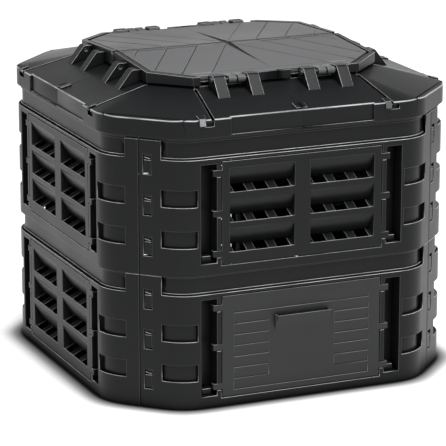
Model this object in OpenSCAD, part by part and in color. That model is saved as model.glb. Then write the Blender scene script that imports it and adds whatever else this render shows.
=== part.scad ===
// Modular garden composter: two tiers of four interlocking wall panels, a
// louvred insert in every window but the low front one, which holds a tilting
// door, and a roof of four quarters that carries two hinged lid halves.
// Millimetres, +Z up, origin in the middle of the ground outline, front at -Y.

/* [Body] */
// Width over two opposite walls
body_w = 800; // [770:5:880]
// Height of one tier of wall panels
tier_h = 290; // [285:1:320]
// Length that a corner face cuts off each wall
corner_cut = 128; // [124:1:140]
// Bend radius between a wall and a corner face
bend_r = 87; // [80:1:92]
// Thickness of the moulded walls
wall_t = 4; // [3:0.5:5]
// Gap between pieces that rest on each other or lap
seat_gap = 0.3; // [0.2:0.05:0.5]

/* [Wall panels] */
// Height of the set-back band at the top of a tier
band_h = 40; // [32:1:44]
// Depth that bands and grips are set back
recess = 9; // [7:0.5:11]
// Height of the tongue that locates the piece above
tongue_h = 10; // [6:1:14]
// Distance of a panel seam from the middle of its corner
seam_off = 10; // [8:1:12]
// Half width of the corner strip that stays flush
strip_half = 41; // [38:1:44]
// Rows of grips up a corner
grip_rows = 2; // [1:1:2]
// Height of a grip
grip_h = 36; // [28:1:38]
// Height of the lowest grip above the tier's foot
grip_z = 62; // [56:1:68]
// Rows of hook slots up a seam
hook_rows = 3; // [1:1:3]
// Distance of a hook slot from the seam
hook_off = 11; // [9:1:14]
// Width of a hook slot
hook_w = 18.5; // [14:0.5:20]
// Height of a hook slot
hook_h = 43; // [30:1:48]
// Height of the lowest hook slot above the tier's foot
hook_z = 41; // [32:1:44]
// Pitch of grips and hook slots up the corner
row_pitch = 87.5; // [80:0.5:92]
// Width of the deep channels beside a window
channel_w = 36; // [28:1:40]
// Depth of those channels
channel_d = 38; // [24:1:44]
// Height of a channel's foot above the tier's foot
channel_z = 26; // [22:1:32]
// Wall left between a channel and the ledge
channel_head = 12; // [11:1:16]
// Wall left between a channel and the grips
channel_rib = 7; // [5:1:10]
// Width of the catch at a channel's foot
catch_w = 20; // [14:1:24]
// Height of that catch
catch_h = 13; // [8:1:16]
// Depth of its front behind the face
catch_d = 14; // [10:1:20]

/* [Windows] */
// Distance from the side of the body to a window
window_inset = 214; // [210:1:222]
// Height of the sill under a window
sill_h = 19; // [14:1:26]
// Height of wall between a window and the band
head_h = 6; // [6:1:12]
// Width of wall between a window and its channel
jamb_w = 10; // [10:1:14]
// Gap all round an insert
insert_gap = 2; // [1:0.25:3]
// Height of a side lug of an insert
lug_h = 13; // [10:1:18]
// Distance of the end lugs from the insert's ends
lug_inset = 24; // [22:1:30]
// Reach of a lug into the channel
lug_reach = 8; // [6:1:10]
// Depth of the hook at a lug's end
lug_hook = 12; // [8:1:16]
// Radius of the pegs at an insert's foot
peg_r = 3.5; // [2.5:0.25:4]
// Length of a peg
peg_l = 10.5; // [8:0.5:11]
// Height of the pegs above the insert's foot
peg_z = 6; // [5:0.5:8]
// Depth of the pegs behind the face
peg_d = 4.5; // [4:0.25:6]

/* [Louvres] */
// Rows of vents
vent_rows = 3; // [2:1:4]
// Width of the bar between the two columns of louvres
mullion_w = 36; // [24:1:48]
// Width of the bars at the sides of an insert
side_bar = 17; // [10:1:24]
// Width of the bar at the foot of an insert
foot_bar = 11; // [8:1:16]
// Width of the bar at the head of an insert
head_bar = 16; // [12:1:24]
// Height of the lowest rim above the insert's foot
first_rim = 25; // [22:1:32]
// Upright lip under each rim
lip_h = 11; // [7:1:14]
// Depth that a slat sweeps back
slat_d = 24; // [18:1:30]
// Height of a vent row
vent_h = 11; // [9:1:16]
// Thickness of slats and of their cheeks
slat_t = 2.5; // [2:0.25:3]
// Width of the ribs across a vent row
rib_w = 20; // [10:1:24]

/* [Door] */
// Steps down the door's face
door_steps = 8; // [5:1:10]
// Depth of one step
step_d = 2; // [1:0.25:2.5]
// Flat border at the door's foot and head
door_border = 16; // [10:1:24]
// Flat border at the door's sides
door_side = 27; // [16:1:34]
// Half width of the bare panel in the middle of the door
plain_half = 77; // [50:1:90]
// Width of the grip hood
hood_w = 125; // [100:1:145]
// Height of the grip hood
hood_h = 37.5; // [30:0.5:44]
// Reach of the grip hood in front of the wall
hood_reach = 15.5; // [12:0.5:15.5]
// Height of the hood's top under the door's head
hood_drop = 53; // [48:1:60]

/* [Roof] */
// Height of the roof's skirt
skirt_h = 38.5; // [32:0.5:44]
// Gap between the skirt and the tier below
skirt_gap = 5; // [3:0.5:8]
// Overhang of the rim beyond the walls
rim_over = 2.5; // [1.5:0.25:3]
// Rise of the slopes from rim to collar
slope_rise = 36.5; // [28:0.5:46]
// Half width of the set-back panel in each skirt side
panel_half = 164; // [140:1:180]
// Depth of the gutters down the slopes
gutter_d = 6; // [4:0.5:8]
// Width of those gutters
gutter_w = 7; // [5:0.5:10]
// Distance from the side of the body to a gutter's foot
gutter_inset = 187; // [182:1:194]

/* [Collar and lids] */
// Half width of the octagonal opening's collar, outside
collar_half = 264; // [255:1:272]
// Length that each octagon corner cuts off
collar_cut = 75; // [65:1:85]
// Thickness of the collar wall
collar_t = 5; // [4:0.5:6]
// Height of the collar above the slopes at its low edges
collar_h = 24; // [22:0.5:28]
// Width of the lip round the collar's top
lip_w = 4; // [2:0.5:5]
// Gap round the lids inside the collar
lid_gap = 5; // [3:0.25:6]
// Gap between the two lid halves
split_gap = 1; // [0.6:0.1:2]
// Rise of the lids from hinge edge to split
lid_rise = 13; // [8:0.5:18]
// Thickness of a lid plate
lid_t = 5; // [4:0.5:6]
// Pitch of the grooves along the split
groove_pitch = 70; // [50:1:90]
// Width of the grooves
groove_w = 2; // [1:0.25:3]

/* [Hinges] */
// Radius of a hinge pin
pin_r = 4; // [3:0.25:4.5]
// Radial play of pins and pegs in their bores
pin_play = 0.05; // [0.03:0.01:0.08]
// Distance from the middle of a side to the middle of a hinge
hinge_u = 104; // [96:1:112]
// Distance between the two ears of a hinge
ear_pitch = 78; // [72:1:84]
// Width of an ear
ear_w = 26; // [20:1:28]
// Radius of an ear's head round the pin
ear_r = 9; // [8:0.5:10]
// Distance of the pin outside the collar
pin_out = 18; // [16:0.5:22]
// Width of one lid knuckle
knuckle_w = 17; // [12:0.5:18]

/* [Hidden] */
$fn = 32;
half_w = body_w / 2;
bend_steps = 8;
flat_half = half_w - corner_cut - bend_r * tan(22.5);
corner_xy = half_w - corner_cut / 2;
far = 60;
sky = 3 * body_w;
tongue_t = 3;
tongue_in = wall_t + seat_gap;

ledge_z = tier_h - band_h;
ledge_lip = 3;
groove_depth = 5;
window_half = half_w - window_inset;
window_top = ledge_z - head_h;
channel_u = window_half + jamb_w;
channel_top = ledge_z - channel_head;
grip_u = channel_u + channel_w + channel_rib;

insert_half = window_half - insert_gap;
insert_z = sill_h + insert_gap;
insert_top = window_top - insert_gap;
lug_levels = [insert_z + lug_inset, (insert_z + insert_top) / 2, insert_top - lug_inset];
door_t = 3;
plain_row = 2;

louvre_half = insert_half - side_bar;
rim_pitch = (insert_top - insert_z - first_rim - 3) / vent_rows;

roof_z = 2 * (tier_h + seat_gap);
skirt_z = roof_z + skirt_gap;
rim_z = skirt_z + skirt_h;
rim_half = half_w + rim_over;
corner_reach = (2 * half_w - corner_cut) / sqrt(2) + rim_over;
collar_reach = (2 * collar_half - collar_cut) / sqrt(2);
collar_z = rim_z + slope_rise;
side_tilt = atan(slope_rise / (rim_half - collar_half));
corner_tilt = atan(slope_rise / (corner_reach - collar_reach));
gutter_rim_u = half_w - gutter_inset;
gutter_top_u = collar_half - collar_cut;
seat_w = 13;
seat_t = 4;

lid_half = collar_half - collar_t - lid_gap;
lid_edge_z = collar_z + collar_h - 1;
lid_tilt = atan(lid_rise / lid_half);
seat_top = lid_edge_z - 10;
ridge_z = lid_edge_z + lid_rise;
pin_y = collar_half + pin_out;
pin_z = lid_edge_z - 6;
knuckle_r = 8;
ear_face = 38;

// Helpers: arcs, turns and the rounded octagon that the walls follow.
function arc(c, r, a0, a1, n) = [for (i = [0:n]) c + r * [cos(a0 + (a1 - a0) * i / n), sin(a0 + (a1 - a0) * i / n)]];
function turn(p, a) = [p.x * cos(a) - p.y * sin(a), p.x * sin(a) + p.y * cos(a)];
function outline(d) = [
  for (k = [0:3]) for (p = concat(
      arc([flat_half, bend_r - half_w], bend_r - d, -90, -45, bend_steps),
      arc([half_w - bend_r, -flat_half], bend_r - d, -45, 0, bend_steps))) turn(p, 90 * k)
];
// A point near the right corner, m before its middle and y behind its face.
function near_corner(m, y) = [corner_xy - (m + y) / sqrt(2), (y - m) / sqrt(2) - corner_xy];
function flip(p) = [-p.x, p.y];
function octagon(h, c) = [
  for (k = [0:3]) for (p = [[h - c, -h], [h, c - h]]) turn(p, 90 * k)
];

// Wall between depths d0 and d1 behind the face, from z0 to z1.
module shell(d0, d1, z0, z1) {
  translate([0, 0, z0]) linear_extrude(z1 - z0) difference() {
    polygon(outline(d0));
    polygon(outline(d1));
  }
}

// Plan of the set-back band, between the two corner strips of one side.
module band_plan(m) {
  polygon([
    flip(near_corner(m, -far)), [-flat_half, -half_w - far], [flat_half, -half_w - far],
    near_corner(m, -far), near_corner(m, far), flip(near_corner(m, far))
  ]);
}

// Plan of one grip, from u along the wall to the right corner strip.
module grip_plan(m, u) {
  polygon([[u, -half_w - far], near_corner(m, 8 - far), near_corner(m, far), [u, far - half_w]]);
}

// Plan of the sector that one panel fills, seam to seam.
module panel_sector() {
  near = half_w / 2;
  polygon([
    turn([-body_w, seam_off - seat_gap / 2], 45), turn([-near, seam_off - seat_gap / 2], 45),
    turn([near, -seam_off - seat_gap / 2], -45), turn([body_w, -seam_off - seat_gap / 2], -45)
  ]);
}

// Places children on the corner face: x along it, y inwards.
module at_corner(side) translate([side * corner_xy, -corner_xy]) rotate(side * 45) children();

module both_sides() for (s = [0, 1]) mirror([s, 0, 0]) children();

module hook_levels() for (i = [0:hook_rows - 1]) translate([0, 0, hook_z + i * row_pitch]) children();

module grip_levels() for (i = [0:grip_rows - 1]) translate([0, 0, grip_z + i * row_pitch]) children();

// Tongues that reach behind the next panel; a pad and a slanted finger fill each slot.
module hooks() {
  slot = hook_off - seam_off;
  root = 15;
  at_corner(1) hook_levels() {
    translate([-seam_off - root - 1, wall_t - 0.5, 2]) cube([root, wall_t + seat_gap + 0.5, hook_h - 4]);
    translate([-seam_off - root - 1, tongue_in, 2]) cube([hook_off + root + hook_w + 3, wall_t, hook_h - 4]);
    translate([slot + 1.2, 1, 3]) cube([hook_w - 2.4, tongue_in, hook_h - 15]);
    translate([slot + 1.5, tongue_in + 1, hook_h - 8.5]) rotate([90, 12, 0]) cube([hook_w - 4, 3, tongue_in]);
  }
}

module wall_blank() {
  // face, with the band and its tongue behind it
  shell(0, wall_t, 0, tier_h);
  intersection() {
    union() {
      shell(0, recess + wall_t, ledge_z - wall_t - groove_depth, ledge_z);
      shell(recess - ledge_lip, recess + wall_t, ledge_z - 1, ledge_z + wall_t);
      shell(recess, recess + wall_t, ledge_z, tier_h);
      shell(tongue_in, recess + wall_t, tier_h - wall_t, tier_h);
    }
    linear_extrude(tier_h * 2) band_plan(strip_half - wall_t);
  }
  // tongue that the piece above sits over
  shell(wall_t - 0.5, tongue_in + tongue_t, tier_h - 2 * wall_t, tier_h);
  shell(tongue_in, tongue_in + tongue_t, tier_h - 1, tier_h + tongue_h);
  // grips
  intersection() {
    grip_levels() shell(0, recess + wall_t, -wall_t, grip_h + wall_t);
    linear_extrude(tier_h) both_sides() grip_plan(strip_half - wall_t, grip_u - wall_t);
  }
  // channels and the bosses that take the pegs of an insert
  both_sides() {
    translate([channel_u - wall_t, -half_w, channel_z - wall_t])
      cube([channel_w + 2 * wall_t, channel_d + wall_t, channel_top - channel_z + 2 * wall_t]);
    translate([window_half, -half_w, sill_h - 3]) cube([jamb_w, peg_d + peg_r + 4, 2 * peg_z + 5]);
  }
}

module wall_cuts() {
  // band above the ledge, then the groove behind the ledge's lip
  intersection() {
    union() {
      shell(-1, recess - ledge_lip, ledge_z, tier_h + 1);
      shell(-1, recess, ledge_z + wall_t, tier_h - wall_t);
      shell(ledge_lip, recess - ledge_lip, ledge_z - groove_depth, ledge_z + 1);
      shell(-1, tongue_in, tier_h - wall_t - 1, tier_h + 1);
    }
    linear_extrude(tier_h * 2) band_plan(strip_half);
  }
  intersection() {
    grip_levels() shell(-1, recess, 0, grip_h);
    linear_extrude(tier_h) both_sides() grip_plan(strip_half, grip_u);
  }
  both_sides() {
    translate([channel_u, -half_w - 1, channel_z]) cube([channel_w, channel_d + 1, channel_top - channel_z]);
    for (z = lug_levels) translate([window_half - 1, -half_w - 1, z - lug_h / 2 - 1.5])
      cube([jamb_w + 2, wall_t + 1 + seat_gap, lug_h + 3]);
    translate([window_half - 1, peg_d - half_w, insert_z + peg_z]) rotate([0, 90, 0])
      cylinder(r = peg_r + pin_play, h = peg_l - insert_gap + seat_gap + 1);
  }
  translate([-window_half, -half_w - 1, sill_h]) cube([2 * window_half, recess + far, window_top - sill_h]);
  at_corner(-1) {
    hook_levels() translate([hook_off - seam_off, -1, 0]) cube([hook_w, wall_t + 2, hook_h]);
    // slanted edge along the seam
    translate([-seam_off, 0, -1]) linear_extrude(tier_h + 2) polygon([[-2, -2], [9, -2], [9, 0], [0, 1.8], [-2, 1.8]]);
  }
}

// One wall panel, drawn as the lower front one.
module wall_panel() {
  intersection() {
    difference() {
      wall_blank();
      wall_cuts();
    }
    linear_extrude(tier_h * 2) panel_sector();
  }
  hooks();
  // catch at the foot of each channel
  both_sides() translate([channel_u + (channel_w - catch_w) / 2, catch_d - half_w, channel_z - 1])
    cube([catch_w, channel_d - catch_d + 1, catch_h + 1]);
}

module wall(side, tier) color([0.16, 0.16, 0.17])
  rotate(90 * side) translate([0, 0, tier * (tier_h + seat_gap)]) wall_panel();

// Frame of an insert, with lugs and pegs, before its openings.
module insert_edge(depth) {
  reach = channel_u + lug_reach;
  for (z = lug_levels) both_sides() {
    translate([insert_half - 1, -half_w, z - lug_h / 2]) cube([reach - insert_half + 1, depth, lug_h]);
    translate([reach - slat_t, -half_w, z - lug_h / 2]) cube([slat_t, lug_hook, lug_h]);
  }
  both_sides() translate([insert_half - 1, peg_d - half_w, insert_z + peg_z]) rotate([0, 90, 0])
    cylinder(r = peg_r, h = peg_l + 1);
}

// Section of a slat below its rim: lip, then a sweep backwards.
function sweep(s) = [slat_d * s * (0.55 + 0.45 * s), -lip_h - s * (rim_pitch - vent_h - lip_h)];
function slat_section() = concat(
  [[0, 0]], [for (i = [0:6]) sweep(i / 6)],
  [for (i = [6:-1:0]) sweep(i / 6) + [slat_t, 0]], [[slat_t, 0]]);

// Extrudes a section of depth and height along the wall, from u0 to u1.
module along_wall(u0, u1) translate([u0, -half_w, 0]) rotate([90, 0, 90]) linear_extrude(u1 - u0) children();

module louvre() {
  u0 = mullion_w / 2;
  foot = insert_z + foot_bar;
  head = insert_top - head_bar;
  difference() {
    translate([-insert_half, -half_w, insert_z]) cube([2 * insert_half, wall_t, insert_top - insert_z]);
    both_sides() translate([u0, -half_w - 1, foot]) cube([louvre_half - u0, wall_t + 2, head - foot]);
  }
  insert_edge(wall_t);
  both_sides() {
    for (u = [u0 - slat_t, louvre_half])
      translate([u, -half_w, foot - 1]) cube([slat_t, slat_d + slat_t, insert_top - foot]);
    for (i = [0:vent_rows]) translate([0, 0, insert_z + first_rim + i * rim_pitch])
      if (i > 0) along_wall(u0 - 1, louvre_half + 1) polygon(slat_section());
      else translate([u0 - 1, -half_w, foot - insert_z - first_rim - 1])
        cube([louvre_half - u0 + 2, slat_t, first_rim - foot_bar + 1]);
    for (i = [0:vent_rows - 1]) translate([0, 0, insert_z + first_rim + i * rim_pitch]) vent_ribs(u0);
  }
}

// Ribs that carry a slat off the rim below it, two across and one at each end.
module vent_ribs(u0) {
  span = louvre_half - u0;
  starts = [u0 - 1, u0 + span / 3 - rib_w / 2, u0 + 2 * span / 3 - rib_w / 2, louvre_half - rib_w / 2];
  widths = [rib_w / 2, rib_w, rib_w, rib_w / 2 + 1];
  for (i = [0:3]) along_wall(starts[i], starts[i] + widths[i])
    polygon([[0, -4], [0, 0], [slat_d + 1, vent_h + 1], [slat_d + 1, vent_h - 3]]);
}

module louvre_insert(side, tier) color([0.2, 0.2, 0.21])
  rotate(90 * side) translate([0, 0, tier * (tier_h + seat_gap)]) louvre();

// Section of the stepped door face: each step stands out at its top.
function door_step_z(i) = insert_z + door_border - 3 + i * (insert_top - insert_z - 2 * door_border + 4) / door_steps;
module door_steps_cut(u0, u1, first, last) along_wall(u0, u1) for (i = [first:last])
  polygon([[-1, door_step_z(i)], [step_d, door_step_z(i)], [0, door_step_z(i + 1)], [-1, door_step_z(i + 1)]]);

module door() color([0.19, 0.19, 0.2]) {
  ribbed = insert_half - door_side;
  hood_top = insert_top - hood_drop;
  difference() {
    union() {
      translate([-insert_half, -half_w, insert_z]) cube([2 * insert_half, step_d + door_t, insert_top - insert_z]);
      // stiffening frame behind the plate
      difference() {
        translate([4 - insert_half, -half_w, insert_z + 4]) cube([2 * insert_half - 8, 10, insert_top - insert_z - 8]);
        translate([7 - insert_half, -half_w - 1, insert_z + 7]) cube([2 * insert_half - 14, 12, insert_top - insert_z - 14]);
      }
      along_wall(-hood_w / 2, hood_w / 2) polygon([
        [0, hood_top - hood_h], [-hood_reach, hood_top - 4], [-hood_reach, hood_top], [1, hood_top], [1, hood_top - hood_h]
      ]);
    }
    door_steps_cut(-ribbed, ribbed, 0, 0);
    both_sides() door_steps_cut(plain_half, ribbed, 1, door_steps - plain_row);
    difference() {
      door_steps_cut(-ribbed, ribbed, door_steps - plain_row + 1, door_steps - 1);
      along_wall(-ribbed, ribbed) polygon([
        [-1, door_step_z(door_steps)], [step_d, door_step_z(door_steps)], [0, insert_top - 2], [-1, insert_top - 2]
      ]);
      translate([-hood_w / 2 - 4, -half_w - 2, hood_top - hood_h - 4]) cube([hood_w + 8, 20, hood_h + 4]);
    }
    // finger room behind the hood
    along_wall(3 - hood_w / 2, hood_w / 2 - 3) polygon([
      [0, hood_top - hood_h + 7], [3 - hood_reach, hood_top - 4], [3 - hood_reach, hood_top + 1], [0, hood_top + 1]
    ]);
  }
  insert_edge(wall_t);
}

// Space under the slopes of the roof, shrunk by inset.
module under_slope(reach, tilt, inset) {
  translate([0, -reach, rim_z - inset / cos(tilt)]) rotate([tilt, 0, 0])
    translate([-body_w, -far, -body_w]) cube([2 * body_w, 2 * body_w, body_w]);
}

module under_roof(inset, z0) {
  intersection() {
    translate([0, 0, z0]) linear_extrude(rim_z + 4 * slope_rise - z0) polygon(outline(inset - rim_over));
    intersection_for(k = [0:3]) rotate(90 * k) under_slope(rim_half, side_tilt, inset);
    intersection_for(k = [0:3]) rotate(90 * k + 45) under_slope(corner_reach, corner_tilt, inset);
  }
}

// Plate between slope and collar, with the plain octagonal prisms inside it.
module prism(h, c, z0, z1) translate([0, 0, z0]) linear_extrude(z1 - z0) polygon(octagon(h, c));

// Space under the two tilted planes that the lids and the collar's rim follow.
module under_gable(lift) {
  for (s = [0, 180]) rotate(s) translate([0, 0, ridge_z + lift]) rotate([lid_tilt, 0, 0])
    translate([-body_w, -body_w, -body_w]) cube([2 * body_w, body_w + 0.01, body_w]);
}

// The length of an ear's front edge, down to the middle of the slope's plate.
ear_tip = [pin_y, pin_z] + ear_r * [cos(ear_face), sin(ear_face)];
function slope_at(y) = rim_z + (rim_half - y) * tan(side_tilt);
ear_edge = (ear_tip.y - slope_at(ear_tip.x) + wall_t / 2) / (cos(ear_face) - sin(ear_face) * tan(side_tilt));

// An ear on the front side, from u - ear_w / 2 to u + ear_w / 2.
module ear(u, bore_from, bore_to) {
  difference() {
    translate([u + ear_w / 2, 0, 0]) rotate([90, 0, -90]) linear_extrude(ear_w) polygon(concat(
      [[collar_half - collar_t / 2, slope_at(collar_half) - 3], [collar_half - collar_t / 2, pin_z + ear_r]],
      arc([pin_y, pin_z], ear_r, 90, ear_face, 6),
      [ear_tip + ear_edge * [sin(ear_face), -cos(ear_face)]]));
    translate([bore_from, -pin_y, pin_z]) rotate([0, 90, 0]) cylinder(r = pin_r + pin_play, h = bore_to - bore_from);
  }
}

// Both ears of the hinge at u: the pin goes through the left one and ends in the right one.
module hinge_ears(u) {
  left = u - ear_pitch / 2;
  right = u + ear_pitch / 2;
  ear(left, left - ear_w, left + ear_w);
  ear(right, right - ear_w, right + ear_w / 2 - 6);
}

module collar() {
  intersection() {
    union() {
      difference() {
        prism(collar_half, collar_cut, collar_z - 3, ridge_z + 20);
        prism(collar_half - collar_t, collar_cut - 0.5 * collar_t, collar_z - 30, ridge_z + 30);
      }
      difference() {
        prism(collar_half + lip_w, collar_cut, collar_z + 5, ridge_z + 20);
        prism(collar_half - 1, collar_cut, collar_z, ridge_z + 30);
      }
    }
    under_gable(1);
  }
}

// Ring inside the collar that the lids rest on.
module lid_seat() {
  difference() {
    prism(collar_half - 1, collar_cut, seat_top - seat_t, seat_top);
    prism(collar_half - collar_t - seat_w, collar_cut, seat_top - seat_t - 1, seat_top + 1);
  }
}

// Gutter down the slope, u0 at the rim and u1 at the collar.
module gutter(width, depth, start, height) {
  run = (rim_half - collar_half) / cos(side_tilt);
  for (s = [-1, 1])
    translate([0, -rim_half, rim_z]) rotate([side_tilt, 0, 0]) translate([0, 0, -depth]) linear_extrude(height)
      polygon([
        [s * gutter_rim_u - width / 2, start], [s * gutter_rim_u + width / 2, start],
        [s * gutter_top_u + width / 2, run - 4], [s * gutter_top_u - width / 2, run - 4]
      ]);
}

// Features of one side of the roof, drawn at the front.
module roof_side_adds() {
  gutter(gutter_w + 2 * wall_t, gutter_d + wall_t / 2, wall_t / 2, gutter_d);
  for (u = [-hinge_u, hinge_u]) hinge_ears(u);
  for (s = [-1, 1]) translate([s * gutter_rim_u - 24, -rim_half, rim_z]) rotate([side_tilt, 0, 0])
    translate([0, 0, -2]) cube([17, 18, 5]);
  // seam latch by the rim, half on each quarter
  translate([-13, -rim_half, rim_z]) rotate([side_tilt, 0, 0]) translate([0, 10, -1]) cube([26, 24, 4]);
}

module roof_side_cuts() {
  gutter(gutter_w, gutter_d, -far, 4 * gutter_d);
  // set-back panel of the skirt, in two steps
  translate([-panel_half, -rim_half - 1, rim_z - 35]) cube([2 * panel_half, 6, 60]);
  translate([-panel_half, -rim_half - 1, skirt_z - 1]) cube([2 * panel_half, 3, 60]);
  for (s = [-1, 1]) translate([s * gutter_rim_u - 20, -rim_half - 1, rim_z - 15]) cube([30, wall_t + 3, 10]);
}

module roof_shell(sides) {
  difference() {
    union() {
      difference() {
        under_roof(0, skirt_z);
        under_roof(wall_t, skirt_z - 1);
        prism(collar_half - collar_t, collar_cut, skirt_z - 1, sky);
      }
      for (k = sides) rotate(90 * k) intersection() {
        union() {
          // backing of the set-back skirt panel and of the latch pockets
          translate([-panel_half - wall_t, -rim_half + 2, skirt_z])
            cube([2 * panel_half + 2 * wall_t, rim_over + tongue_in - seat_gap - 2, skirt_h]);
          translate([-panel_half - wall_t, -rim_half + 2, roof_z + tongue_h])
            cube([2 * panel_half + 2 * wall_t, 3 + wall_t, skirt_z + skirt_h - roof_z - tongue_h]);
          for (s = [-1, 1]) translate([s * gutter_rim_u - 24, -rim_half + 2, rim_z - 19]) cube([38, wall_t + 4, 17]);
        }
        under_roof(0, skirt_z);
      }
      // inner ring that rests on the tongues of the tier below
      intersection() {
        shell(0, recess + wall_t, roof_z + tongue_h, roof_z + tongue_h + wall_t);
        under_roof(0, skirt_z);
      }
    }
    for (k = sides) rotate(90 * k) roof_side_cuts();
  }
}

module roof_quarter(q) color([0.17, 0.17, 0.18]) {
  sides = [q, q + 1];
  edge = seat_gap / 2;
  intersection() {
    union() {
      roof_shell(sides);
      difference() {
        union() {
          collar();
          for (k = sides) rotate(90 * k) roof_side_adds();
        }
        for (k = sides) if (k % 2 == 0) rotate(90 * k) hinge_openings();
        for (k = sides) if (k % 2 == 1) rotate(90 * k) rim_notch();
        for (k = sides) rotate(90 * k) gutter(gutter_w, gutter_d, -far, 4 * gutter_d);
      }
      lid_seat();
    }
    rotate(90 * q) translate([edge, -body_w - edge, 0]) cube([body_w, body_w, 4 * tier_h]);
  }
}

// Gaps in the collar where the lid knuckles pass, and beside each left ear for its pin.
module hinge_openings() {
  for (u = [-hinge_u, hinge_u]) {
    translate([u - ear_pitch / 2 + ear_w / 2, -collar_half - lip_w - 1, collar_z + 3])
      cube([ear_pitch - ear_w, collar_t + lip_w + 2, collar_h + lid_rise + 20]);
    translate([u - ear_pitch / 2 - ear_w / 2 - 20, -collar_half - lip_w - 1, collar_z + 3])
      cube([20, collar_t + lip_w + 2, collar_h + lid_rise + 20]);
  }
}

// Finger notch in the collar's rim at the end of the split.
module rim_notch() translate([-9, -collar_half - lip_w - 1, ridge_z - 7]) cube([18, collar_t + lip_w + 2, 30]);

// The grooves of a lid: a fan of fine lines, a tapered one down the middle and a border.
module lid_grooves() {
  long = 2 * lid_half;
  translate([0, 0, ridge_z]) rotate([lid_tilt, 0, 0]) {
    translate([0, 0, -1.2]) linear_extrude(far) {
      intersection() {
        both_sides() for (i = [0:4]) translate([i * groove_pitch, 0]) rotate(30)
          translate([-groove_w / 2, -long]) square([groove_w, long]);
        polygon(octagon(lid_half - 12, collar_cut));
      }
      translate([-lid_half + 4, -17]) square([2 * lid_half - 8, groove_w]);
      translate([-lid_half + collar_cut, 20 - lid_half]) square([2 * (lid_half - collar_cut), groove_w]);
    }
    translate([0, 0, -lid_t / 2]) linear_extrude(far) polygon([[-8, 1], [8, 1], [8, -6], [0, -186], [-8, -6]]);
  }
}

// The front lid half; the rear one is the same piece turned round.
module lid() {
  difference() {
    intersection() {
      difference() {
        prism(lid_half, collar_cut, seat_top + seat_gap, ridge_z + 20);
        intersection() {
          translate([0, 0, -1]) prism(lid_half - 4, collar_cut, seat_top, ridge_z + 20);
          under_gable(-lid_t / cos(lid_tilt));
          translate([-body_w, -body_w - 4, 0]) cube([2 * body_w, body_w, 3 * body_w]);
        }
      }
      under_gable(0);
      translate([-body_w, -body_w - split_gap / 2, 0]) cube([2 * body_w, body_w, 3 * body_w]);
    }
    lid_grooves();
  }
  // stiffening ribs under the plate
  intersection() {
    for (x = [-150, -50, 50, 150]) translate([x - 1.5, 6 - lid_half, seat_top + 5]) cube([3, lid_half - 12, 30]);
    under_gable(-1);
  }
  for (u = [-hinge_u, hinge_u]) knuckles(u);
}

module knuckles(u) {
  for (k = [-1, 0]) translate([u + 3 + k * (knuckle_w + 4) + 2, 0, 0]) difference() {
    union() {
      translate([0, -pin_y, pin_z]) rotate([0, 90, 0]) cylinder(r = knuckle_r, h = knuckle_w);
      translate([knuckle_w, 0, 0]) rotate([90, 0, -90]) linear_extrude(knuckle_w) polygon([
        [lid_half - 8, lid_edge_z - 2], [lid_half, lid_edge_z - 0.5], [pin_y, pin_z + knuckle_r],
        [pin_y, pin_z - 4], [collar_half + 2, seat_top + 1], [lid_half - 8, seat_top + 1]
      ]);
    }
    translate([-1, -pin_y, pin_z]) rotate([0, 90, 0]) cylinder(r = pin_r + pin_play, h = knuckle_w + 2);
  }
}

module lid_half_at(angle) color([0.3, 0.3, 0.31]) rotate(angle) lid();

// A pin, pushed in from the left until its head meets the left ear.
module hinge_pin(angle, u) color([0.25, 0.25, 0.26]) rotate(angle) {
  start = u - ear_pitch / 2 - ear_w / 2;
  translate([start - 3, -pin_y, pin_z]) rotate([0, 90, 0]) cylinder(r = pin_r, h = ear_pitch + ear_w - 4);
  translate([start - 5 - seat_gap, -pin_y, pin_z]) rotate([0, 90, 0]) cylinder(r = pin_r + 3, h = 5);
}

wall(0, 0);  // wall_lower_front
wall(1, 0);  // wall_lower_right
wall(2, 0);  // wall_lower_rear
wall(3, 0);  // wall_lower_left
wall(0, 1);  // wall_upper_front
wall(1, 1);  // wall_upper_right
wall(2, 1);  // wall_upper_rear
wall(3, 1);  // wall_upper_left
louvre_insert(1, 0);  // louvre_lower_right
louvre_insert(2, 0);  // louvre_lower_rear
louvre_insert(3, 0);  // louvre_lower_left
louvre_insert(0, 1);  // louvre_upper_front
louvre_insert(1, 1);  // louvre_upper_right
louvre_insert(2, 1);  // louvre_upper_rear
louvre_insert(3, 1);  // louvre_upper_left
door();
roof_quarter(0);  // roof_front_right
roof_quarter(1);  // roof_rear_right
roof_quarter(2);  // roof_rear_left
roof_quarter(3);  // roof_front_left
lid_half_at(0);  // lid_front
lid_half_at(180);  // lid_rear
hinge_pin(0, -hinge_u);  // pin_front_left
hinge_pin(0, hinge_u);  // pin_front_right
hinge_pin(180, hinge_u);  // pin_rear_left
hinge_pin(180, -hinge_u);  // pin_rear_right
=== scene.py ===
# Looks of the garden composter: moulded black plastic on the imported pieces, with painted
# shade in recesses and grooves and painted highlights on rounded edges, two catches on the
# roof's skirt, a white floor with a painted shadow round the foot and soft studio light,
# seen from the front left. Metres, +Z up, front at -Y.
import math

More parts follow.
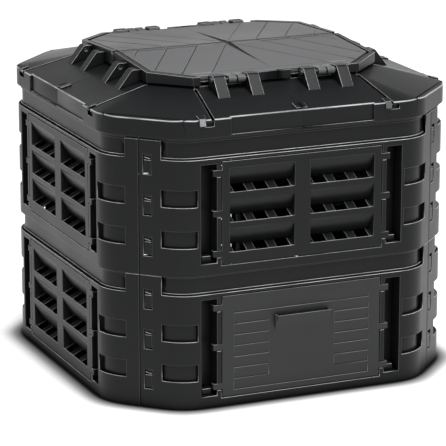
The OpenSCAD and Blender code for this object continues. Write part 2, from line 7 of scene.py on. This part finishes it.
import bmesh
import bpy
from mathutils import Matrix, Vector


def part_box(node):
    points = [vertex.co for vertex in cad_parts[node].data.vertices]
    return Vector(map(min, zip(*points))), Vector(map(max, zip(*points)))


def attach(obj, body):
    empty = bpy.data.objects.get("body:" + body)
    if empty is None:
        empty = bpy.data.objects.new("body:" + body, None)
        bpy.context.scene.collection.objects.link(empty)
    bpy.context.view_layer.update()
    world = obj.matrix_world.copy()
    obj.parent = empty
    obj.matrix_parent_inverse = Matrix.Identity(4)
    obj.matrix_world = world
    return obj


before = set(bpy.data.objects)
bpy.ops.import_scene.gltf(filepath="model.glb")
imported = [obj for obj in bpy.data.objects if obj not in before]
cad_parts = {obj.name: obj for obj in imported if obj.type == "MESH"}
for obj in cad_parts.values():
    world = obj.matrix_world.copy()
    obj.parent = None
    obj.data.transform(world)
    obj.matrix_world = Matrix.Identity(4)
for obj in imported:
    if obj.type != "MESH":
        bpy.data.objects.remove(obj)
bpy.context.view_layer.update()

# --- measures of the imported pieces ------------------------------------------
# From the middle to the walls' faces and to the corner faces, and a tier's height.
HALF = -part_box("wall_lower_front")[0][1]
CORNER = 0.4752
TIER = 0.290

# Height of the roof's rim, above the foot of its skirt, and the skirt's front face.
SKIRT_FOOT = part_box("roof_front_left")[0][2]
RIM_Z = SKIRT_FOOT + 0.0385
SKIRT_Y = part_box("roof_front_left")[0][1]

# The grooves of a lid, mirrored about both middle lines: a fan, a border along the
# split between the halves, and a taper from the split outwards.
LID_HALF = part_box("lid_front")[1][0]
GROOVE_PITCH = 0.070
GROOVE_TURN = math.radians(30)
FAN_MARGIN = 0.012
BORDER_Y = 0.016
TAPER_LENGTH = 0.186
TAPER_SLOPE = 0.043


# --- node helpers -----------------------------------------------------------
class Tree:
    """A material's or world's node tree, with short calls to add and link."""

    def __init__(self, owner):
        owner.use_nodes = True
        self.tree = owner.node_tree
        self.tree.nodes.clear()

    def add(self, kind, settings=None, **inputs):
        """A new node; _ in an input's name stands for a space."""
        node = self.tree.nodes.new("ShaderNode" + kind)
        for key, value in (settings or {}).items():
            setattr(node, key, value)
        for key, value in inputs.items():
            self.feed(node, key.replace("_", " "), value)
        return node

    def feed(self, node, key, value):
        """Links or sets the input of that name, or of that number."""
        socket = node.inputs[int(key)] if key.isdigit() else node.inputs[key]
        if isinstance(value, bpy.types.NodeSocket):
            self.tree.links.new(value, socket)
        else:
            socket.default_value = value

    def math(self, operation, *values):
        node = self.add("Math", {"operation": operation})
        for i, value in enumerate(values):
            self.feed(node, str(i), value)
        return node.outputs[0]

    def axes(self, vector):
        return self.add("SeparateXYZ", Vector=vector).outputs

    def noise(self, place, scale, detail, rough=0.5):
        return self.add("TexNoise", Vector=place, Scale=scale, Detail=detail, Roughness=rough).outputs["Fac"]

    def ramp(self, value, stops):
        """Greys by value; stops are (value, grey)."""
        node = self.add("ValToRGB")
        ramp = node.color_ramp
        while len(ramp.elements) < len(stops):
            ramp.elements.new(0.5)
        for element, (place, grey) in zip(ramp.elements, stops):
            element.position = place
            element.color = (grey, grey, grey, 1.0)
        self.feed(node, "Fac", value)
        return node.outputs["Color"]

    def mix(self, share, a, b, blend="MIX"):
        """Colour a turned into b by share; sockets 0, 6 and 7 are share, a and b."""
        node = self.add("Mix", {"data_type": "RGBA", "blend_type": blend})
        for key, value in (("0", share), ("6", a), ("7", b)):
            self.feed(node, key, value)
        return node.outputs[2]


# --- materials --------------------------------------------------------------
# How much wider than its groove each band of painted shade on a lid is, and where that
# shade fades, in centimetres from the groove's middle.
SLANT_EXTRA = 0.0014
BORDER_EXTRA = 0.0012
SPLIT_EXTRA = 0.003
LINE_FADE = [(0.11, 0.1), (0.24, 1.0)]


def lid_lines(t, place):
    """Painted shade along the grooves of a lid's upper face and along the split, else white."""
    spot = t.axes(place)
    x, y = t.math("ABSOLUTE", spot["X"]), t.math("ABSOLUTE", spot["Y"])

    # distance from the nearest groove of the fan, which starts at the middle one
    across = t.math(
        "SUBTRACT",
        t.math("MULTIPLY", x, math.cos(GROOVE_TURN)),
        t.math("MULTIPLY", y, math.sin(GROOVE_TURN)),
    )
    half_pitch = GROOVE_PITCH * math.cos(GROOVE_TURN) / 2
    fan = t.math("PINGPONG", t.math("MAXIMUM", across, 0.0), half_pitch)
    before = t.math("MAXIMUM", t.math("MULTIPLY", across, -1.0), 0.0)
    fan = t.math("ADD", fan, before)
    # the fan ends short of the lid's edge
    past = t.math("SUBTRACT", t.math("MAXIMUM", x, y), LID_HALF - FAN_MARGIN)
    fan = t.math("ADD", fan, t.math("MAXIMUM", t.math("MULTIPLY", past, 5.0), 0.0))
    # the painted shade is wider in two of the four quarters
    slant = t.math("LESS_THAN", t.math("MULTIPLY", spot["X"], spot["Y"]), 0.0)
    fan = t.math("SUBTRACT", fan, t.math("MULTIPLY", slant, SLANT_EXTRA))

    border = t.math("ABSOLUTE", t.math("SUBTRACT", y, BORDER_Y))
    border = t.math("SUBTRACT", border, BORDER_EXTRA)
    half_taper = t.math("MULTIPLY", t.math("SUBTRACT", TAPER_LENGTH, y), TAPER_SLOPE)
    taper = t.math("SUBTRACT", x, half_taper)
    split = t.math("SUBTRACT", y, SPLIT_EXTRA)
    near = t.math("MINIMUM", t.math("MINIMUM", fan, border), t.math("MINIMUM", taper, split))

    upper = t.axes(t.add("TexCoord").outputs["Normal"])["Z"]
    near = t.math("ADD", near, t.math("LESS_THAN", upper, 0.5))
    return t.ramp(t.math("MULTIPLY", near, 100.0), LINE_FADE)


GRAIN = 0.25
DUST = 0.15
PATCH_SPREAD = 0.07
SCUFF_SPREAD = 0.12
# The smoothest patches lie that much under the roughness, and rounded edges again.
SMOOTHER = 0.04
EDGE_GLOSS = 0.4
# colour of the painted highlight on rounded edges
EDGE_HIGHLIGHT_PALE = (0.8, 0.804, 0.812)


def moulded_plastic(name, shade, rough, gloss, shade_reach, edge_highlight=0.0, lines=None):
    """Black polypropylene: fine moulded grain, uneven sheen, faint dust and scuffs.

    Recesses that have no open air within reach are darkened, a painted shade. wear paints
    what faces upwards pale, a painted highlight broken up by noise, and lines paints shade along grooves.
    """
    material = bpy.data.materials.new(name)
    t = Tree(material)
    place = t.add("TexCoord").outputs["Object"]
    patches = t.ramp(t.noise(place, 6.0, 3.0), [(0.35, 0.0), (0.7, 1.0)])
    specks = t.ramp(t.noise(place, 55.0, 6.0, 0.7), [(0.62, 0.0), (0.8, 1.0)])
    # rounded edges facing upwards are painted pale, a painted highlight broken up by noise; other faces get
    # faint pale dust specks
    if edge_highlight:
        pale = EDGE_HIGHLIGHT_PALE
        highlight_breakup = t.ramp(t.noise(place, 24.0, 4.0), [(0.3, 0.55), (0.6, 1.0)])
        facing = t.axes(t.add("TexCoord").outputs["Normal"])["Z"]
        highlight_facing = t.ramp(facing, [(0.05, 0.04), (0.45, 1.0), (0.75, 1.0), (0.95, 0.3)])
        dust_and_highlight = t.math("MULTIPLY", t.math("MULTIPLY", highlight_breakup, highlight_facing), edge_highlight)
    else:
        pale = [tone * 1.5 + 0.012 for tone in shade]
        dust_and_highlight = t.math("MULTIPLY", specks, DUST)

    colour = t.mix(dust_and_highlight, (*shade, 1.0), (*pale, 1.0))
    # painted shade: recesses go darker where ambient occlusion finds little open air within reach
    open_air = t.add("AmbientOcclusion", {"samples": 6}, Distance=shade_reach).outputs["AO"]
    painted_recess_shade = t.ramp(open_air, [(0.45, 0.2), (0.9, 1.0)])
    colour = t.mix(1.0, colour, painted_recess_shade, "MULTIPLY")
    if lines:
        colour = t.mix(1.0, colour, lines(t, place), "MULTIPLY")

    sheen = t.math("ADD", rough - SMOOTHER, t.math("MULTIPLY", patches, PATCH_SPREAD))
    sheen = t.math("ADD", sheen, t.math("MULTIPLY", specks, SCUFF_SPREAD))
    fine = t.noise(place, 900.0, 2.0)
    bump = t.add("Bump", Strength=GRAIN, Distance=0.0002, Height=fine)
    shader = t.add("BsdfPrincipled", Normal=bump.outputs["Normal"], Base_Color=colour, Roughness=sheen)
    shader.inputs["Specular IOR Level"].default_value = gloss
    shader.inputs["IOR"].default_value = 1.5
    t.add("OutputMaterial", Surface=shader.outputs[0])
    return material


# Of each family: its faces' shade, roughness, gloss and the reach of the painted shade in
# its recesses, and how strongly its rounded edges facing upwards are painted pale, a painted highlight.
FINISHES = {
    "wall": ((0.0085, 0.009, 0.0097), 0.34, 0.16, 0.012, 0.8),
    "louvre": ((0.010, 0.0105, 0.0112), 0.38, 0.16, 0.003, 0.38),
    "door": ((0.020, 0.0205, 0.0215), 0.42, 0.30, 0.006, 0.35),
    "roof": ((0.0105, 0.011, 0.0117), 0.34, 0.14, 0.008, 0.62),
    # the lid's shade is far paler than the other plastic's, with little gloss: a painted sheen
    "lid": ((0.105, 0.106, 0.109), 0.42, 0.15, 0.005, 0.28),
    "pin": ((0.02, 0.0205, 0.0215), 0.32, 0.5, 0.005, 0.2),
    # the catch's pale shade on black plastic: a painted highlight
    "latch": ((0.26, 0.262, 0.268), 0.34, 0.5, 0.004, 0.35),
}
# a lid's grooves and split get painted shade
PAINTED_GROOVE_SHADES = {"lid": lid_lines}

# Of each family: the material of its faces, and that of its rounded edges.
MATERIALS = {
    family: (
        moulded_plastic(family + "_plastic", shade, rough, gloss, shade_reach, lines=PAINTED_GROOVE_SHADES.get(family)),
        moulded_plastic(family + "_edge", shade, rough - SMOOTHER, EDGE_GLOSS, shade_reach, edge_highlight),
    )
    for family, (shade, rough, gloss, shade_reach, edge_highlight) in FINISHES.items()
}


# --- rounded edges ----------------------------------------------------------
SHARP = math.radians(28)
RIM_ZONE = 0.0015
SEAM_ZONE = 0.001


def outer_edges():
    """Node group that weights each convex edge for the bevel and keeps inner ones crisp.

    Edges at the height Rim weigh 1, and all others Elsewhere.
    """
    group = bpy.data.node_groups.new("outer_edges", "GeometryNodeTree")
    for name, way, kind in (
        ("Geometry", "INPUT", "Geometry"), ("Rim", "INPUT", "Float"),
        ("Elsewhere", "INPUT", "Float"), ("Geometry", "OUTPUT", "Geometry"),
    ):
        group.interface.new_socket(name, in_out=way, socket_type="NodeSocket" + kind)
    link = group.links.new

    def node(kind, **settings):
        made = group.nodes.new(kind)
        for key, value in settings.items():
            setattr(made, key, value)
        return made

    def calculate(operation, *values):
        made = node("ShaderNodeMath", operation=operation)
        for socket, value in zip(made.inputs, values):
            if isinstance(value, bpy.types.NodeSocket):
                link(value, socket)
            else:
                socket.default_value = value
        return made.outputs[0]

    def axes(vector):
        made = node("ShaderNodeSeparateXYZ")
        link(vector, made.inputs[0])
        return made.outputs

    entry, leave = node("NodeGroupInput"), node("NodeGroupOutput")
    angle = node("GeometryNodeInputMeshEdgeAngle").outputs["Signed Angle"]
    convex = calculate("GREATER_THAN", angle, SHARP)
    concave = calculate("LESS_THAN", angle, -SHARP)

    # the seams between the roof's quarters and between the lids stay plain
    ends = node("GeometryNodeInputMeshEdgeVertices").outputs
    spots = [axes(ends["Position 1"]), axes(ends["Position 2"])]
    out_x, out_y = (
        calculate("MAXIMUM", *(calculate("ABSOLUTE", spot[axis]) for spot in spots)) for axis in "XY"
    )
    off_seam = calculate("GREATER_THAN", calculate("MINIMUM", out_x, out_y), SEAM_ZONE)
    rounded = calculate("MULTIPLY", convex, off_seam)

    height = axes(node("GeometryNodeInputPosition").outputs[0])["Z"]
    off_rim = calculate("ABSOLUTE", calculate("SUBTRACT", height, entry.outputs["Rim"]))
    at_rim = calculate("LESS_THAN", off_rim, RIM_ZONE)
    others = calculate("MULTIPLY", calculate("SUBTRACT", 1.0, at_rim), entry.outputs["Elsewhere"])

    store = node("GeometryNodeStoreNamedAttribute", data_type="FLOAT", domain="EDGE")
    store.inputs["Name"].default_value = "bevel_weight_edge"
    link(entry.outputs["Geometry"], store.inputs["Geometry"])
    link(calculate("MULTIPLY", rounded, calculate("ADD", at_rim, others)), store.inputs["Value"])
    crisp = node("GeometryNodeSetShadeSmooth", domain="EDGE")
    crisp.inputs["Shade Smooth"].default_value = False
    link(concave, crisp.inputs["Selection"])
    link(store.outputs[0], crisp.inputs["Geometry"])
    link(crisp.outputs[0], leave.inputs[0])
    return group


OUTER_EDGES = outer_edges()


def soften(piece, width, merge, rim=0.0, elsewhere=1.0):
    """Rounds every moulded edge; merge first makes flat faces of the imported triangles."""
    weld = piece.modifiers.new("weld", "WELD")
    weld.merge_threshold = 0.00001
    if merge:
        flat = piece.modifiers.new("flat", "DECIMATE")
        flat.decimate_type = "DISSOLVE"
        flat.angle_limit = math.radians(0.5)
    mark = piece.modifiers.new("mark", "NODES")
    mark.node_group = OUTER_EDGES
    values = {"Rim": rim, "Elsewhere": elsewhere}
    for socket in OUTER_EDGES.interface.items_tree:
        if socket.name in values:
            mark[socket.identifier] = values[socket.name]
    bevel = piece.modifiers.new("round", "BEVEL")
    bevel.limit_method = "WEIGHT"
    bevel.width = width
    bevel.segments = 2
    bevel.use_clamp_overlap = False
    bevel.miter_outer = "MITER_ARC"
    bevel.material = 1
    shade = piece.modifiers.new("normals", "WEIGHTED_NORMAL")
    shade.keep_sharp = True
    for polygon in piece.data.polygons:
        polygon.use_smooth = True


def dress(piece, finish, *edges):
    """Gives a piece the materials of its faces and edges, and rounds it."""
    piece.data.materials.clear()
    for material in MATERIALS[finish]:
        piece.data.materials.append(material)
    soften(piece, *edges)


# Of each family: the width of its rounded edges, whether its flat faces are merged
# first, and then the height of the widest edge and the share of the width elsewhere.
EDGES = {
    "wall": (0.0011, True),
    "louvre": (0.0010, True),
    "door": (0.0008, True),
    "roof": (0.0026, True, RIM_Z, 0.28),
    "lid": (0.0008, False),
    "pin": (0.0006, True),
    "latch": (0.0006, False),
}

for name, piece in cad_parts.items():
    family = name.split("_")[0]
    dress(piece, family, *EDGES[family])


# --- catches on the front skirt, left of each gutter's foot -----------------
LATCH_WIDTH = 0.013
# Section, round from the top of the back: metres in front of the skirt, and above the rim.
LATCH_SECTION = [
    (-0.004, 0.003), (-0.0005, 0.003), (0.004, -0.0095), (0.004, -0.0125), (-0.0005, -0.0125),
]
# Of each catch: the place of its middle along the skirt, and its finish; both finishes are paler than black
# plastic, a painted highlight, weaker on the right catch.
LATCHES = {"latch_front_left": (-0.2295, "latch"), "latch_front_right": (0.1965, "lid")}


def latch(name, middle, finish):
    """A slanted block that hangs over the rim."""
    shape = bmesh.new()
    ends = [
        [shape.verts.new((x, SKIRT_Y - out, RIM_Z + up)) for out, up in LATCH_SECTION]
        for x in (middle - LATCH_WIDTH / 2, middle + LATCH_WIDTH / 2)
    ]
    for end in ends:
        shape.faces.new(end)
    near, far = ends
    for i in range(len(LATCH_SECTION)):
        shape.faces.new((near[i - 1], near[i], far[i], far[i - 1]))
    bmesh.ops.recalc_face_normals(shape, faces=shape.faces)
    mesh = bpy.data.meshes.new(name)
    shape.to_mesh(mesh)
    shape.free()
    block = bpy.data.objects.new(name, mesh)
    bpy.context.scene.collection.objects.link(block)
    dress(block, finish, *EDGES["latch"])
    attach(block, "bin")


for name, (middle, finish) in LATCHES.items():
    latch(name, middle, finish)


# --- camera -----------------------------------------------------------------
AZIMUTH, ELEVATION = math.radians(-23.47), math.radians(15.05)
LENS_MM = 223.1
DISTANCE = 21.357 * TIER
AIM = Vector((-0.0259, 0.0112, 0.976)) * TIER


def camera():
    back = Vector((
        math.sin(AZIMUTH) * math.cos(ELEVATION),
        -math.cos(AZIMUTH) * math.cos(ELEVATION),
        math.sin(ELEVATION),
    ))
    data = bpy.data.cameras.new("camera")
    data.lens = LENS_MM
    data.sensor_width = 36.0
    data.clip_end = 100.0
    eye = bpy.data.objects.new("camera", data)
    eye.location = AIM + back * DISTANCE
    eye.rotation_euler = back.to_track_quat("Z", "Y").to_euler()
    bpy.context.scene.collection.objects.link(eye)
    bpy.context.scene.camera = eye


# --- studio -----------------------------------------------------------------
LAMP_PLACE = Vector((0.0, -1.2, 2.7))
LAMP_AIM = Vector((0.0, 0.0, 0.35))
LAMP_SIZE = (2.6, 1.4)
LAMP_POWER = 88.0

# The world's grey by height: a white band low round the object, under a dark ceiling.
WORLD_GREYS = [(0.0, 1.0), (0.12, 1.0), (0.5, 0.15), (1.0, 0.15)]

# The floor's own light and colour by the distance from the object's foot, in decimetres;
# both go dark near the foot, a painted shadow.
FLOOR_HALF = 12.0
FLOOR_GLOW_AND_PAINTED_SHADOW = [(0.05, 0.0), (0.2, 0.12), (0.45, 0.6), (0.8, 0.9)]
FLOOR_TONE_AND_PAINTED_SHADOW = [(0.03, 0.02), (0.12, 0.2), (0.35, 0.6), (0.6, 0.7)]
FOOT_BLEND = 0.06


def softbox():
    """The one lamp, wide and overhead."""
    data = bpy.data.lights.new("overhead", "AREA")
    data.shape = "RECTANGLE"
    data.size, data.size_y = LAMP_SIZE
    data.energy = LAMP_POWER
    lamp = bpy.data.objects.new("overhead", data)
    lamp.location = LAMP_PLACE
    lamp.rotation_euler = (LAMP_PLACE - LAMP_AIM).to_track_quat("Z", "Y").to_euler()
    bpy.context.scene.collection.objects.link(lamp)


def studio_world():
    world = bpy.data.worlds.new("studio")
    bpy.context.scene.world = world
    t = Tree(world)
    height = t.axes(t.add("TexCoord").outputs["Generated"])["Z"]
    light = t.add("Background", Color=t.ramp(height, WORLD_GREYS))
    t.add("OutputWorld", Surface=light.outputs[0])


def floor():
    """A white floor with a painted shadow under the object and close round its foot."""
    mesh = bpy.data.meshes.new("floor")
    h = FLOOR_HALF
    mesh.from_pydata([(-h, -h, 0), (h, -h, 0), (h, h, 0), (-h, h, 0)], [], [(0, 1, 2, 3)])
    plane = bpy.data.objects.new("floor", mesh)
    bpy.context.scene.collection.objects.link(plane)
    material = bpy.data.materials.new("floor_white")
    mesh.materials.append(material)

    t = Tree(material)
    place = t.axes(t.add("TexCoord").outputs["Object"])
    x, y = t.math("ABSOLUTE", place["X"]), t.math("ABSOLUTE", place["Y"])
    side = t.math("SUBTRACT", t.math("MAXIMUM", x, y), HALF)
    corner = t.math("SUBTRACT", t.math("MULTIPLY", t.math("ADD", x, y), math.sqrt(0.5)), CORNER)
    away = t.math("MULTIPLY", t.math("SMOOTH_MAX", side, corner, FOOT_BLEND), 10.0)

    paper_and_painted_shadow = t.add("BsdfDiffuse", Color=t.ramp(away, FLOOR_TONE_AND_PAINTED_SHADOW)).outputs[0]
    glow = t.add("Emission", Color=t.ramp(away, FLOOR_GLOW_AND_PAINTED_SHADOW)).outputs[0]
    both = t.add("AddShader")
    t.feed(both, "0", paper_and_painted_shadow)
    t.feed(both, "1", glow)
    rays = t.add("LightPath").outputs
    seen = t.math("MAXIMUM", rays["Is Camera Ray"], rays["Is Glossy Ray"])
    seen = t.math("MAXIMUM", seen, rays["Is Transmission Ray"])
    pick = t.add("MixShader")
    t.feed(pick, "0", seen)
    t.feed(pick, "1", paper_and_painted_shadow)
    t.feed(pick, "2", both.outputs[0])
    t.add("OutputMaterial", Surface=pick.outputs[0])


camera()
floor()
studio_world()
softbox()
bpy.context.scene.view_settings.view_transform = "Standard"
